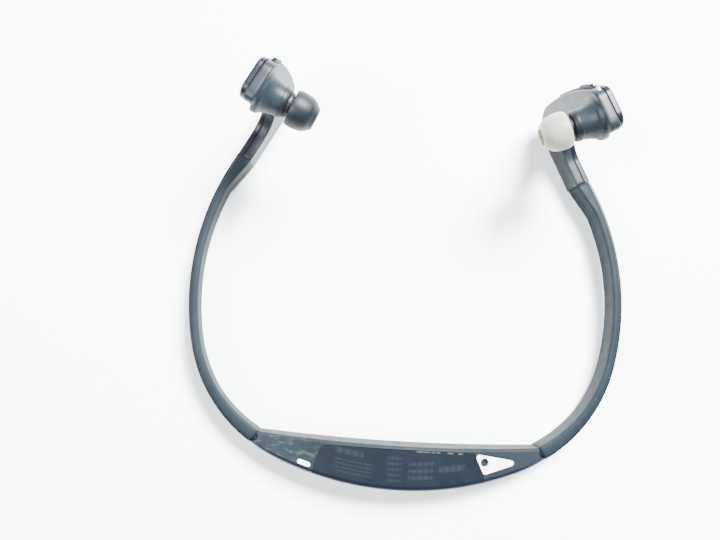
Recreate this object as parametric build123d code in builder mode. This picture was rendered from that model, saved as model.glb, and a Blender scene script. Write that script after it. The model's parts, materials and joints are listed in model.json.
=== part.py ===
"""Neckband earphones lying upside down: the band rests on a flat surface, the earpieces stand up.

Millimetres, +Z up. The origin is the bottom centre of the whole object. +Y points from the back
section to the earpieces, and +X to the side with the clear ear tip. The object is symmetric about
the YZ plane, except for the label cover, the charging jack with its bezel, the power key, the
microphone and the light window.
"""
from math import cos, radians, sin, sqrt
import os

from build123d import *

os.makedirs("parts", exist_ok=True)

# ---------------------------------------------------------------- driving dimensions: the band
BAND_ARCS = [(110.0, 41.0), (51.0, 50.0), (91.0, 63.5)]  # radius and length of the outer face
DEPTH = 134.7             # from the back of the band to the front of the earpieces
BAND_HEIGHT = 10.0        # at the two seams and at the earpieces
ARM_ARCH = 3.0            # rise of the arm's lower edge half-way along
ARM_CROWN = 2.0           # rise of its upper edge there
ARM_THICK = 3.0           # over most of its length; it swells to the seam and to the earpiece
ARM_EDGE_R = 0.8
STRIP_THICK = 0.8
STRIP_MARGIN = 0.6        # the dark strip stops short of the arm's upper and lower edge

# ---------------------------------------------------------------- driving dimensions: the seams
SEAM = 52.0               # flex axis, measured along the outer face from the back centre
SEAM_GAP = 0.7
SEAM_THICK = 4.6          # thickness of the band there
KNUCKLE_R = 1.5           # rounded end of the arm, which turns in a socket of the back section
SOCKET_R = 1.65

# ---------------------------------------------------------------- driving dimensions: back section
BACK_THICK = 14.5
BACK_HEIGHT = 14.0
BACK_EDGE_R = 1.0
BACK_TOP_EDGE_R = 1.8     # outer edge of the crowned top
WALL = 1.6
HOLLOW_OVERLAP = 0.4      # the hollow is cut this far into the outer shell's side
HOLLOW_TRIM = 6.0         # solid length left at each end of the back section
LABEL_LEFT = -26.0
LABEL_RIGHT = 24.6
LABEL_THICK = 0.9
LABEL_WRAP = 6.0          # reach of the label cover down the outer face
LABEL_CORNER_R = 2.5
LABEL_GAP = 0.2           # groove round the label cover
BEZEL_GAP = 0.08
BEZEL_THICK = 1.2
BEZEL_CORNER_R = 1.0
JACK_MOUTH_R = 1.4
JACK_BARREL_R = 2.2
JACK_BORE_R = 1.2
JACK_DEPTH = 6.5
JACK_PIN_R = 0.35
POWER_KEY_SIZE = (4.6, 1.6)
POWER_KEY_DEPTH = 2.4
POWER_TRAVEL = 0.3
PLUG_SIZE = (9.5, 4.8)
PLUG_DEPTH = 1.0
PLUG_Z = 4.2
PLUG_DOT_R = 0.8
SCREW_R = 0.6
SCREW_HEAD_R = 0.95
SCREW_HEAD = 0.6
SCREW_LENGTH = 6.0
SCREW_TOP = 12.1
SCREW_REACH = (-24.5, 15.5)    # along the band from the back centre
BOSS_R = 1.7
BOSS_TOP = 10.4           # joint between the bosses of the two shells
BOSS_STEP = 0.4           # the inner shell's bosses are this much slimmer
BOARD_Z = 3.0
BOARD_THICK = 0.8
BOARD_SIZE = (22.0, 6.0)
BATTERY_SIZE = (28.0, 7.2, 8.4)
BATTERY_EDGE_R = 1.5
BATTERY_PAD_THICK = 0.5
SHIELD_SIZE = (9.0, 5.0, 1.6)
SHIELD_SHIFT = 5.5        # of the shield can from the middle of the board
SWITCH_BODY = (3.4, 1.5)
SWITCH_BUTTON_R = 0.7
SWITCH_BUTTON = 1.2

# ---------------------------------------------------------------- driving dimensions: arm insides
CORE_INSETS = (1.4, 1.8)
CORE_Z = (3.9, 6.5)
CABLE_INSET = 2.3
CABLE_R = 0.35
CABLE_Z = 7.7
CORE_START = 56.0         # the core and the cable start this far along the band

# ---------------------------------------------------------------- driving dimensions: earpieces
EAR_FORWARD = 19.0        # from the end of the arm's last arc to the middle of the earpiece
EAR_SEAM = -15.3          # start of the earpiece, measured forward from its middle
CABLE_REACH = -9.0        # where the cable ends inside the earpiece
EAR_HEIGHT = 50.0
EAR_THICK = 5.1
CAP_THICK = 1.8
EAR_WALL = 1.0
LOOP_R = 14.0             # bottom front of the hook
FRONT_R = 85.0            # its front edge, leaning back towards the free end
CAP_EDGE_R = 0.7
EAR_EDGE_R = 1.2
FREE_END_R = 4.0          # corners of the hook's free end
KEY_GAP = 0.15
MAIN_KEY_AT = (2.6, 33.0)
MAIN_KEY_SIZE = (7.6, 12.0)
MAIN_KEY_PROUD = 0.35
MAIN_KEY_DEPTH = 1.4
PLUNGER_R = 1.5
ROCKER_RADII = (83.7, 85.5)
ROCKER_ARC = (6.8, 22.1)  # degrees above the level of the front edge's centre
ROCKER_DEPTHS = (2.15, 3.55)
RIB_ARC = (17.0, 21.5)
RIB_DEPTHS = (2.5, 3.2)
RIB_WIDTH = 0.4
RIB_HEIGHT = 0.6

# ---------------------------------------------------------------- driving dimensions: nozzle and tip
NOZZLE_YAW = 5.0          # degrees forward of the earpiece's inward normal
NOZZLE_DROP = 8.0         # degrees below the horizontal
NOZZLE_AT = (-0.6, 42.3)
HORN_LENGTH = 7.3
HORN_BASE_R = 6.6
HORN_WAIST_R = 5.3
HORN_END_R = 4.65
COLLAR_R = 4.1
COLLAR_LENGTH = 0.9
STEM_R = 2.5
STEM_LENGTH = 6.6
SOUND_BORE_R = 1.6
MESH_THICK = 0.3
TIP_START = HORN_LENGTH + COLLAR_LENGTH + 0.15
TIP_RIM_R = 5.75
TIP_END_R = 4.0
TIP_LENGTH = 8.6
TIP_WALL = 0.8
TIP_SLEEVE_R = 3.5
TIP_BORE_R = 2.55
DRIVER_START = -0.8       # along the nozzle from the housing's inner face
DRIVER_R = 4.2
DRIVER_THICK = 2.8
MAGNET_R = 2.6

# ---------------------------------------------------------------- driving dimensions: switches and window
KEY_BOARD_CORNERS = [(4.6, 17.5), (10.7, 17.5), (8.1, 34.9), (0.2, 34.9)]
SWITCH_FACE = 2.5         # depth of the main switch below the cap's face
MAIN_SWITCH_SIZE = 3.4
MAIN_SWITCH_THICK = 0.7
MAIN_TRAVEL = 0.35        # gap between the main key's plunger and its switch
EDGE_SWITCH_ANGLES = (8.6, 19.4)
EDGE_SWITCH_SIZE = (1.1, 2.4, 1.4)
EDGE_SWITCH_INSET = 1.05  # of its middle behind the edge key
EDGE_SWITCH_DEPTH = 3.7
WINDOW_ANGLE = 24.6
WINDOW_DEPTH = 3.0
WINDOW_R = 0.5
WINDOW_LENGTH = 2.5
MIC_AT = (8.5, 8.0)
MIC_R = 1.5
MIC_THICK = 1.1

FIRST_ARC = BAND_ARCS[0][1]
CURVE_END = sum(length for _, length in BAND_ARCS)
ARM_END = CURVE_END + EAR_FORWARD + EAR_SEAM
BACK_Y = -DEPTH / 2
CREASE_Y = BACK_Y + BACK_THICK - BACK_EDGE_R
BEZEL_LOW = (28.0, BACK_Y + 6.6)
BEZEL_RIGHT = (41.5, BACK_Y + 11.4)
JACK_AT = (28.2, BACK_Y + 10.7)
JACK_TOP = 11.3
POWER_KEY_TURN = -16.0
POWER_KEY_TOP = 12.5
BATTERY_AT = (-6.5, BACK_Y + 8.9)
BOARD_X = 20.3
BOARD_Y = BACK_Y + 9.3


# ---------------------------------------------------------------- the plan curve of the band
def plan_point(distance, inset=0.0):
    """Point at a distance along the outer face from the back centre, shifted inward by inset."""
    side = -1 if distance < 0 else 1
    remaining = abs(distance)
    x, y, heading = 0.0, BACK_Y, 0.0
    for radius, length in BAND_ARCS:
        step = min(remaining, length)
        turned = heading + step / radius
        x += radius * (sin(turned) - sin(heading))
        y += radius * (cos(heading) - cos(turned))
        heading = turned
        remaining -= step
    x += remaining * cos(heading) - inset * sin(heading)
    y += remaining * sin(heading) + inset * cos(heading)
    return (side * x, y)


def band_edge(distances, insets):
    """Arcs along the band through the given distances, each at its own inset."""
    for start, end, inset_a, inset_b in zip(distances, distances[1:], insets, insets[1:]):
        middle = plan_point((start + end) / 2, (inset_a + inset_b) / 2)
        if min(start, end) < CURVE_END:
            ThreePointArc(plan_point(start, inset_a), middle, plan_point(end, inset_b))
        else:
            Line(plan_point(start, inset_a), plan_point(end, inset_b))


def band_region(distances, outer_insets, inner_insets):
    """Outline of the plan region between two edges of the band."""
    with BuildLine(Plane.XY) as outline:
        band_edge(distances, outer_insets)
        Line(plan_point(distances[-1], outer_insets[-1]), plan_point(distances[-1], inner_insets[-1]))
        band_edge(distances[::-1], inner_insets[::-1])
        Line(plan_point(distances[0], inner_insets[0]), plan_point(distances[0], outer_insets[0]))
    return outline.edges()


def save(shape, name):
    """Label one finished piece and write it."""
    shape.label = name
    export_step(shape, f"parts/{name}.step")


def save_pair(shape, name):
    """Write a right-hand piece and its mirror image."""
    save(shape, f"{name}_right")
    save(mirror(shape, about=Plane.YZ), f"{name}_left")


SEAM_END = SEAM - SEAM_GAP
HINGE = plan_point(SEAM, SEAM_THICK / 2)
BACK_STATIONS = [-SEAM_END, -FIRST_ARC, 0, FIRST_ARC, SEAM_END]
POWER_KEY_AT = plan_point(-32.4, 2.5)
SCREW_POINTS = [plan_point(along, WALL + BOSS_R - 0.3) for along in SCREW_REACH]
ARM_STATIONS = [SEAM, 72.0, 91.0, 126.0, 146.0, CURVE_END, ARM_END]
CABLE_END = CURVE_END + EAR_FORWARD + CABLE_REACH


def inner_side(edge):
    """Whether an edge of the right arm lies on its inner face rather than its outer one."""
    middle = edge @ 0.5
    return min(((middle.X - x) ** 2 + (middle.Y - y) ** 2) ** 0.5
               for x, y in (plan_point(SEAM + step / 4) for step in range(480))) > ARM_THICK - 0.6


# ---------------------------------------------------------------- back section: reference blocks
def back_profile(lift, bottom):
    """Side outline of the back section under its crown, lowered by lift."""
    side = BAND_HEIGHT - lift
    with BuildLine(Plane.XY) as outline:
        ThreePointArc((-SEAM, side), (0, BACK_HEIGHT - lift), (SEAM, side))
        Polyline((SEAM, side), (SEAM, bottom), (-SEAM, bottom), (-SEAM, side))
    return outline.edges()


def back_plan(end, inset, outer_inset):
    """D-shaped plan outline of the back section, inset at the inner face and at the outer face."""
    inner_x, inner_y = plan_point(end, SEAM_THICK)
    right = (inner_x, inner_y - inset)
    left = (-inner_x, inner_y - inset)
    with BuildLine(Plane.XY) as outline:
        band_edge([-end, -FIRST_ARC, 0, FIRST_ARC, end], [outer_inset] * 5)
        Line(plan_point(end, outer_inset), right)
        ThreePointArc(right, (0, BACK_Y + BACK_THICK - inset), left)
        Line(left, plan_point(-end, outer_inset))
    return outline.edges()


with BuildPart() as back_envelope:
    with BuildSketch(Plane.XY):
        make_face(back_plan(SEAM_END, 0, 0))
    extrude(amount=BACK_HEIGHT)
    with BuildSketch(Plane.XZ):
        make_face(back_profile(0, 0))
    extrude(amount=DEPTH, both=True, mode=Mode.INTERSECT)
    top_edges = back_envelope.edges().filter_by(GeomType.BSPLINE)
    fillet(top_edges.sort_by(Edge.length)[:-1], BACK_TOP_EDGE_R)
    crease = back_envelope.edges().filter_by(GeomType.BSPLINE).sort_by(Edge.length)[-1]
    fillet(crease, BACK_EDGE_R)
    bottom_edges = back_envelope.faces().sort_by(Axis.Z)[0].edges().filter_by(GeomType.CIRCLE)
    fillet(bottom_edges, BACK_EDGE_R)

with BuildPart() as back_hollow:
    with BuildSketch(Plane.XY.offset(WALL)):
        make_face(back_plan(SEAM_END - HOLLOW_TRIM, WALL, WALL - HOLLOW_OVERLAP))
    extrude(amount=BACK_HEIGHT)
    with BuildSketch(Plane.XZ):
        make_face(back_profile(WALL, 0))
    extrude(amount=DEPTH, both=True, mode=Mode.INTERSECT)


def under_top(thickness, outer_inset):
    """Everything deeper than a layer on the top of the back section and on its outer face."""
    end = SEAM_END - 4
    with BuildPart(mode=Mode.PRIVATE) as deep:
        with BuildSketch(Plane.XY.offset(-1)):
            make_face(band_region([-end, -FIRST_ARC, 0, FIRST_ARC, end], [outer_inset] * 5,
                                  [BACK_THICK + 3] * 5))
        extrude(amount=BACK_HEIGHT + 2)
        with BuildSketch(Plane.XZ):
            make_face(back_profile(thickness, -1))
        extrude(amount=DEPTH, both=True, mode=Mode.INTERSECT)
    return deep.part


under_label = under_top(LABEL_THICK, LABEL_THICK)
under_bezel = under_top(BEZEL_THICK, -1)


def label_plan(inset):
    """Plan of the label cover, shrunk by inset."""
    with BuildSketch(Plane.XY) as plan:
        with BuildLine():
            Polyline((LABEL_LEFT, CREASE_Y), (LABEL_RIGHT, CREASE_Y), BEZEL_LOW,
                     (BEZEL_LOW[0] + 1.5, BACK_Y - 3), (LABEL_LEFT - 5.0, BACK_Y - 3),
                     (LABEL_LEFT - 2.4, CREASE_Y - 8.0), close=True)
        make_face()
        fillet(plan.vertices().group_by(Axis.Y)[-1].sort_by(Axis.X)[0], LABEL_CORNER_R)
        offset(amount=-inset, kind=Kind.INTERSECTION, mode=Mode.REPLACE)
    return plan.sketch


def bezel_plan(inset):
    """Plan of the rounded triangular jack bezel, shrunk by inset."""
    with BuildSketch(Plane.XY) as plan:
        with BuildLine():
            Polyline((LABEL_RIGHT, CREASE_Y), BEZEL_RIGHT, BEZEL_LOW, close=True)
        make_face()
        fillet(plan.vertices(), BEZEL_CORNER_R)
        offset(amount=-inset, kind=Kind.INTERSECTION, mode=Mode.REPLACE)
    return plan.sketch


def column(plan):
    """Tall block over a plan, down to the level where the label cover's lip ends."""
    with BuildPart(mode=Mode.PRIVATE) as block:
        with BuildSketch(Plane.XY.offset(BACK_HEIGHT - LABEL_WRAP)):
            add(plan)
        extrude(amount=BACK_HEIGHT)
    return block.part


# ---------------------------------------------------------------- back section: pieces
# Label cover: thin curved plate on the top, lipped over the outer edge.
with BuildPart() as label_cover:
    add(column(label_plan(LABEL_GAP)))
    add(back_envelope, mode=Mode.INTERSECT)
    add(under_label, mode=Mode.SUBTRACT)
save(label_cover.part, "label_cover")

with BuildPart() as label_recess:
    add(column(label_plan(0.01)))
    add(under_label, mode=Mode.SUBTRACT)

# Jack bezel: rounded triangle round the mouth of the charging jack.
with BuildPart() as jack_bezel:
    add(column(bezel_plan(BEZEL_GAP)))
    add(back_envelope, mode=Mode.INTERSECT)
    add(under_bezel, mode=Mode.SUBTRACT)
    with BuildSketch(Plane.XY):
        with Locations(JACK_AT):
            Circle(JACK_MOUTH_R)
    extrude(amount=BACK_HEIGHT + 1, mode=Mode.SUBTRACT)
save(jack_bezel.part, "jack_bezel")

with BuildPart() as bezel_recess:
    add(column(bezel_plan(0.01)))
    add(under_bezel, mode=Mode.SUBTRACT)

power_key_plane = Plane(origin=(*POWER_KEY_AT, POWER_KEY_TOP),
                        x_dir=(cos(radians(POWER_KEY_TURN)), sin(radians(POWER_KEY_TURN)), 0))

# Power key: small pill beside the label cover, close to the outer edge.
with BuildPart() as power_key:
    with BuildSketch(power_key_plane.offset(-POWER_KEY_DEPTH)):
        SlotOverall(*POWER_KEY_SIZE)
    extrude(amount=POWER_KEY_DEPTH)
    fillet(power_key.faces().sort_by(Axis.Z)[-1].edges(), 0.3)
save(power_key.part, "power_key")

with BuildPart() as power_key_well:
    with BuildSketch(power_key_plane.offset(-2 * POWER_KEY_DEPTH)):
        SlotOverall(POWER_KEY_SIZE[0] + 2 * KEY_GAP, POWER_KEY_SIZE[1] + 2 * KEY_GAP)
    extrude(amount=4 * POWER_KEY_DEPTH)

# Oval plug in the inner wall.
plug_plane = Plane(origin=(0, BACK_Y + BACK_THICK, PLUG_Z), x_dir=(1, 0, 0), z_dir=(0, -1, 0))
with BuildPart() as plug_column:
    with BuildSketch(plug_plane.offset(-1)):
        Ellipse(PLUG_SIZE[0] / 2, PLUG_SIZE[1] / 2)
    extrude(amount=1 + PLUG_DEPTH)

with BuildPart() as inner_plug:
    add(plug_column)
    add(back_envelope, mode=Mode.INTERSECT)
    with BuildSketch(plug_plane.offset(-1)):
        Circle(PLUG_DOT_R)
    extrude(amount=1 + PLUG_DEPTH / 2, mode=Mode.SUBTRACT)
save(inner_plug.part, "inner_plug")

# Sockets that the knuckles of the two arms turn in.
with BuildPart() as sockets:
    with BuildSketch(Plane.XY.offset(-1)):
        with Locations(HINGE, (-HINGE[0], HINGE[1])):
            Circle(SOCKET_R)
    extrude(amount=BAND_HEIGHT + 3)

with BuildPart() as outer_column:
    with BuildSketch(Plane.XY):
        make_face(band_region(BACK_STATIONS, [-1] * 5, [STRIP_THICK, WALL, WALL, WALL, STRIP_THICK]))
    extrude(amount=BACK_HEIGHT)

# Screws: each clamps the inner shell's top to a boss of the outer shell, under the label cover.
with BuildPart() as shell_screws:
    with BuildSketch(Plane.XY.offset(SCREW_TOP - SCREW_HEAD)):
        with Locations(*SCREW_POINTS):
            Circle(SCREW_HEAD_R)
    extrude(amount=SCREW_HEAD)
    with BuildSketch(Plane.XY.offset(SCREW_TOP - SCREW_LENGTH)):
        with Locations(*SCREW_POINTS):
            Circle(SCREW_R)
    extrude(amount=SCREW_LENGTH - SCREW_HEAD)
save(shell_screws.part, "shell_screws")

# Outer shell: hard dark strip that closes the back section on its outer face, with two bosses.
with BuildPart() as back_outer_shell:
    add(back_envelope)
    add(outer_column, mode=Mode.INTERSECT)
    with BuildSketch(Plane.XY.offset(WALL)):
        with Locations(*SCREW_POINTS):
            Circle(BOSS_R)
    extrude(amount=BOSS_TOP - WALL)
    for cutter in (label_recess, bezel_recess, power_key_well, sockets, shell_screws):
        add(cutter, mode=Mode.SUBTRACT)
save(back_outer_shell.part, "back_outer_shell")

# Inner shell: rubber-coated channel with the inner wall, the top and the bottom.
with BuildPart() as back_inner_shell:
    add(back_envelope)
    for cutter in (back_hollow, outer_column, label_recess, bezel_recess, power_key_well, sockets,
                   plug_column):
        add(cutter, mode=Mode.SUBTRACT)
    with BuildSketch(Plane.XY.offset(BOSS_TOP)):
        with Locations(*SCREW_POINTS):
            Circle(BOSS_R - BOSS_STEP)
    extrude(amount=SCREW_TOP + 0.07 - BOSS_TOP)
    with BuildSketch(Plane.XY.offset(SCREW_TOP - SCREW_HEAD)):
        with Locations(*SCREW_POINTS):
            Circle(SCREW_HEAD_R)
    extrude(amount=SCREW_HEAD + 2, mode=Mode.SUBTRACT)
    with BuildSketch(Plane.XY.offset(BOSS_TOP)):
        with Locations(*SCREW_POINTS):
            Circle(SCREW_R)
    extrude(amount=SCREW_HEAD + 1, mode=Mode.SUBTRACT)
    with BuildSketch(Plane.XY.offset(BOARD_Z)):
        with Locations(JACK_AT):
            Circle(JACK_BARREL_R)
    extrude(amount=JACK_TOP - BOARD_Z, mode=Mode.SUBTRACT)
save(back_inner_shell.part, "back_inner_shell")

# Charging jack: barrel standing on the main board, open at the top, with its own centre pin.
with BuildPart() as charge_jack:
    with BuildSketch(Plane.XY.offset(BOARD_Z + BOARD_THICK)):
        with Locations(JACK_AT):
            Circle(JACK_BARREL_R)
    extrude(amount=JACK_TOP - BOARD_Z - BOARD_THICK)
    with BuildSketch(Plane.XY.offset(JACK_TOP - JACK_DEPTH)):
        with Locations(JACK_AT):
            Circle(JACK_BORE_R)
    extrude(amount=JACK_DEPTH, mode=Mode.SUBTRACT)
save(charge_jack.part, "charge_jack")

with BuildPart() as jack_pin:
    with BuildSketch(Plane.XY.offset(JACK_TOP - JACK_DEPTH)):
        with Locations(JACK_AT):
            Circle(JACK_PIN_R)
    extrude(amount=JACK_DEPTH - 0.8)
    chamfer(jack_pin.faces().sort_by(Axis.Z)[-1].edges(), 0.12)
save(jack_pin.part, "jack_pin")

with BuildPart() as main_board:
    with BuildSketch(Plane.XY.offset(BOARD_Z)):
        with Locations((BOARD_X, BOARD_Y)):
            Rectangle(*BOARD_SIZE)
    extrude(amount=BOARD_THICK)
    fillet(main_board.edges().filter_by(Axis.Z), 0.8)
save(main_board.part, "main_board")

with BuildPart() as shield_can:
    with BuildSketch(Plane.XY.offset(BOARD_Z + BOARD_THICK)):
        with Locations((BOARD_X - SHIELD_SHIFT, BOARD_Y)):
            Rectangle(*SHIELD_SIZE[:2])
    extrude(amount=SHIELD_SIZE[2])
    fillet(shield_can.edges().filter_by(Axis.Z), 0.4)
save(shield_can.part, "shield_can")

with BuildPart() as battery_pad:
    with BuildSketch(Plane.XY.offset(WALL)):
        with Locations(BATTERY_AT):
            Rectangle(BATTERY_SIZE[0] - 3, BATTERY_SIZE[1] - 1)
    extrude(amount=BATTERY_PAD_THICK)
save(battery_pad.part, "battery_pad")

with BuildPart() as battery_cell:
    with BuildSketch(Plane.XY.offset(WALL + BATTERY_PAD_THICK)):
        with Locations(BATTERY_AT):
            Rectangle(*BATTERY_SIZE[:2])
    extrude(amount=BATTERY_SIZE[2])
    fillet(battery_cell.edges().filter_by(Axis.X), BATTERY_EDGE_R)
save(battery_cell.part, "battery_cell")

# Power switch: stands on the bottom wall under the power key.
switch_plane = power_key_plane.offset(-POWER_KEY_DEPTH - POWER_TRAVEL)
with BuildPart() as power_switch:
    with BuildSketch(switch_plane.offset(-SWITCH_BUTTON)):
        Rectangle(*SWITCH_BODY)
    extrude(amount=-(POWER_KEY_TOP - POWER_KEY_DEPTH - POWER_TRAVEL - SWITCH_BUTTON - WALL))
    with BuildSketch(switch_plane):
        Circle(SWITCH_BUTTON_R)
    extrude(amount=-SWITCH_BUTTON)
save(power_switch.part, "power_switch")


# ---------------------------------------------------------------- arms, right-hand side
def arch_profile(lower, upper):
    """Side outline of an arm between its lower and upper edges, each moved by a margin."""
    start, end = plan_point(SEAM)[1] - 0.1, plan_point(ARM_END + 3)[1]
    middle = (start + end) / 2
    with BuildLine(Plane.XY) as outline:
        ThreePointArc((start, lower), (middle, ARM_ARCH + lower), (end, lower))
        Line((end, lower), (end, BAND_HEIGHT + upper))
        ThreePointArc((end, BAND_HEIGHT + upper), (middle, BAND_HEIGHT + ARM_CROWN + upper),
                      (start, BAND_HEIGHT + upper))
        Line((start, BAND_HEIGHT + upper), (start, lower))
    return outline.edges()


ARM_INSETS = [SEAM_THICK, 3.4, ARM_THICK, ARM_THICK, ARM_THICK + 0.15, EAR_THICK - 0.5, EAR_THICK]

# Spring-steel core: the strip that holds the arm's shape.
with BuildPart() as arm_core:
    with BuildSketch(Plane.XY.offset(CORE_Z[0])):
        make_face(band_region([CORE_START] + ARM_STATIONS[1:-1] + [ARM_END - 1],
                              [CORE_INSETS[0]] * 7, [CORE_INSETS[1]] * 7))
    extrude(amount=CORE_Z[1] - CORE_Z[0])
save_pair(arm_core.part, "arm_core")

# Signal cable: runs above the core and ends inside the earpiece.
with BuildPart() as arm_cable:
    stations = [CORE_START] + ARM_STATIONS[1:-1] + [CABLE_END]
    with BuildLine(Plane.XY.offset(CABLE_Z)) as cable_path:
        band_edge(stations, [CABLE_INSET] * 7)
    with BuildSketch(Plane(origin=cable_path.line @ 0, z_dir=cable_path.line % 0)):
        Circle(CABLE_R)
    sweep()
save_pair(arm_cable.part, "arm_cable")

# Sleeve: soft grey rubber with a rounded knuckle at the seam.
with BuildPart() as arm_sleeve:
    with BuildSketch(Plane.XY):
        make_face(band_region(ARM_STATIONS, [STRIP_THICK] * 7, ARM_INSETS))
    extrude(amount=BACK_HEIGHT)
    with BuildSketch(Plane.YZ):
        make_face(arch_profile(0, 0))
    extrude(amount=DEPTH, both=True, mode=Mode.INTERSECT)
    inner_edges = arm_sleeve.edges().filter_by(
        lambda e: e.length > 8 and e.geom_type != GeomType.LINE and inner_side(e))
    fillet(inner_edges, ARM_EDGE_R)
    with BuildSketch(Plane.XY):
        with Locations(HINGE):
            Circle(KNUCKLE_R)
    extrude(amount=BAND_HEIGHT)
    for cutter in (arm_core, arm_cable):
        add(cutter, mode=Mode.SUBTRACT)
save_pair(arm_sleeve.part, "arm_sleeve")

# Outer strip: dark hard band on the sleeve's outer face.
with BuildPart() as arm_strip:
    with BuildSketch(Plane.XY):
        make_face(band_region(ARM_STATIONS, [0] * 7, [STRIP_THICK] * 7))
    extrude(amount=BACK_HEIGHT)
    with BuildSketch(Plane.YZ):
        make_face(arch_profile(STRIP_MARGIN, -STRIP_MARGIN))
    extrude(amount=DEPTH, both=True, mode=Mode.INTERSECT)
save_pair(arm_strip.part, "arm_strip")


# ---------------------------------------------------------------- earpieces, right-hand side
ear_forward = Vector(*plan_point(CURVE_END + 1)) - Vector(*plan_point(CURVE_END))
ear_outward = Vector(ear_forward.Y, -ear_forward.X, 0)
ear_foot = Vector(*plan_point(CURVE_END + EAR_FORWARD))
# On the side plane x runs forward, y up, and the normal points away from the wearer.
ear_plane = Plane(origin=ear_foot, x_dir=ear_forward, z_dir=ear_outward)
FRONT_CENTRE = (LOOP_R - FRONT_R, LOOP_R)
TOP_FRONT_X = FRONT_CENTRE[0] + sqrt(FRONT_R ** 2 - (EAR_HEIGHT - LOOP_R) ** 2)


def hook_outline(inset):
    """Side plan of an earpiece: the band curls up into a hook that ends in a broad free end."""
    with BuildSketch(Plane.XY) as plan:
        with BuildLine():
            Line((EAR_SEAM, 0), (0, 0))
            CenterArc((0, LOOP_R), LOOP_R, -90, 90)
            ThreePointArc((LOOP_R, LOOP_R), point_on_front(12.0), (TOP_FRONT_X, EAR_HEIGHT))
            Line((TOP_FRONT_X, EAR_HEIGHT), (-8.6, EAR_HEIGHT))
            ThreePointArc((-8.6, EAR_HEIGHT), (-2.4, 34.0), (1.8, 18.9))
            ThreePointArc((1.8, 18.9), (-0.75, 12.75), (-6.9, BAND_HEIGHT))
            Line((-6.9, BAND_HEIGHT), (EAR_SEAM, BAND_HEIGHT))
            Line((EAR_SEAM, BAND_HEIGHT), (EAR_SEAM, 0))
        make_face()
        fillet(plan.vertices().group_by(Axis.Y)[-1], FREE_END_R)
        if inset:
            offset(amount=-inset, kind=Kind.INTERSECTION, mode=Mode.REPLACE)
    return plan.sketch


def point_on_front(degrees, radius=FRONT_R):
    """Point on a circle about the centre of the hook's leaning front edge."""
    angle = radians(degrees)
    return (FRONT_CENTRE[0] + radius * cos(angle), FRONT_CENTRE[1] + radius * sin(angle))


def ring_sector(radii, arc, margin=0.0):
    """Closed sector between two radii about the centre of the front edge, widened by margin."""
    inner, outer = radii[0] - margin, radii[1] + margin
    first, last = arc[0] - margin * 0.7, arc[1] + margin * 0.7
    stops = (first, (first + last) / 2, last)
    with BuildLine(Plane.XY) as outline:
        ThreePointArc(*[point_on_front(stop, outer) for stop in stops])
        Line(point_on_front(last, outer), point_on_front(last, inner))
        ThreePointArc(*[point_on_front(stop, inner) for stop in reversed(stops)])
        Line(point_on_front(first, inner), point_on_front(first, outer))
    return outline.edges()


yaw, drop = radians(NOZZLE_YAW), radians(NOZZLE_DROP)
level = ear_outward * -cos(yaw) + ear_forward * sin(yaw)
nozzle_axis = level * cos(drop) + Vector(0, 0, -sin(drop))
nozzle_foot = ear_plane.from_local_coords(Vector(*NOZZLE_AT, -EAR_THICK))
# On the nozzle plane x runs out along the nozzle and y is the distance from its axis.
nozzle_plane = Plane(origin=nozzle_foot, x_dir=nozzle_axis, z_dir=nozzle_axis.cross(Vector(0, 0, 1)))
nozzle_line = Axis(nozzle_foot, nozzle_axis)


def horn_profile(margin, start, end):
    """Half section of the horn between two distances along the nozzle, margin inside its skin."""
    base, waist, tip = HORN_BASE_R - margin, HORN_WAIST_R - margin, HORN_END_R - margin
    with BuildLine(Plane.XY) as outline:
        Line((start, 0), (start, base))
        ThreePointArc((start, base), (HORN_LENGTH * 0.4, waist), (end, tip))
        Polyline((end, tip), (end, 0), (start, 0))
    return outline.edges()


def not_at_seam(edge):
    """Whether an edge of an earpiece lies clear of the face that meets the arm."""
    return (edge @ 0.5 - ear_foot).dot(ear_forward) > EAR_SEAM + 0.1


key_place = ear_plane.from_local_coords(Vector(*MAIN_KEY_AT, 0))
key_plane = Plane(origin=key_place, x_dir=ear_forward, z_dir=ear_outward)

# Outer cap: dark hard shell on the side away from the head.
with BuildPart() as ear_cap:
    with BuildSketch(ear_plane):
        add(hook_outline(0))
    extrude(amount=-CAP_THICK)
    with BuildSketch(key_plane):
        Ellipse(MAIN_KEY_SIZE[0] / 2 + KEY_GAP, MAIN_KEY_SIZE[1] / 2 + KEY_GAP)
    extrude(amount=-CAP_THICK, mode=Mode.SUBTRACT)
    outer_rim = ear_cap.faces().sort_by(Axis(ear_foot, ear_outward))[-1].edges()
    fillet(outer_rim.filter_by(lambda e: not_at_seam(e) and e.geom_type != GeomType.ELLIPSE), CAP_EDGE_R)
save_pair(ear_cap.part, "ear_cap")

# Main key: oval, slightly proud of the cap, with a plunger on its back.
with BuildPart() as main_key:
    with BuildSketch(key_plane.offset(MAIN_KEY_PROUD - MAIN_KEY_DEPTH)):
        Ellipse(MAIN_KEY_SIZE[0] / 2, MAIN_KEY_SIZE[1] / 2)
    extrude(amount=MAIN_KEY_DEPTH)
    fillet(main_key.faces().sort_by(Axis(ear_foot, ear_outward))[-1].edges(), 0.3)
    with BuildSketch(key_plane.offset(-SWITCH_FACE + MAIN_TRAVEL)):
        Circle(PLUNGER_R)
    extrude(amount=SWITCH_FACE - MAIN_TRAVEL + MAIN_KEY_PROUD - MAIN_KEY_DEPTH)
save_pair(main_key.part, "main_key")

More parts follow.
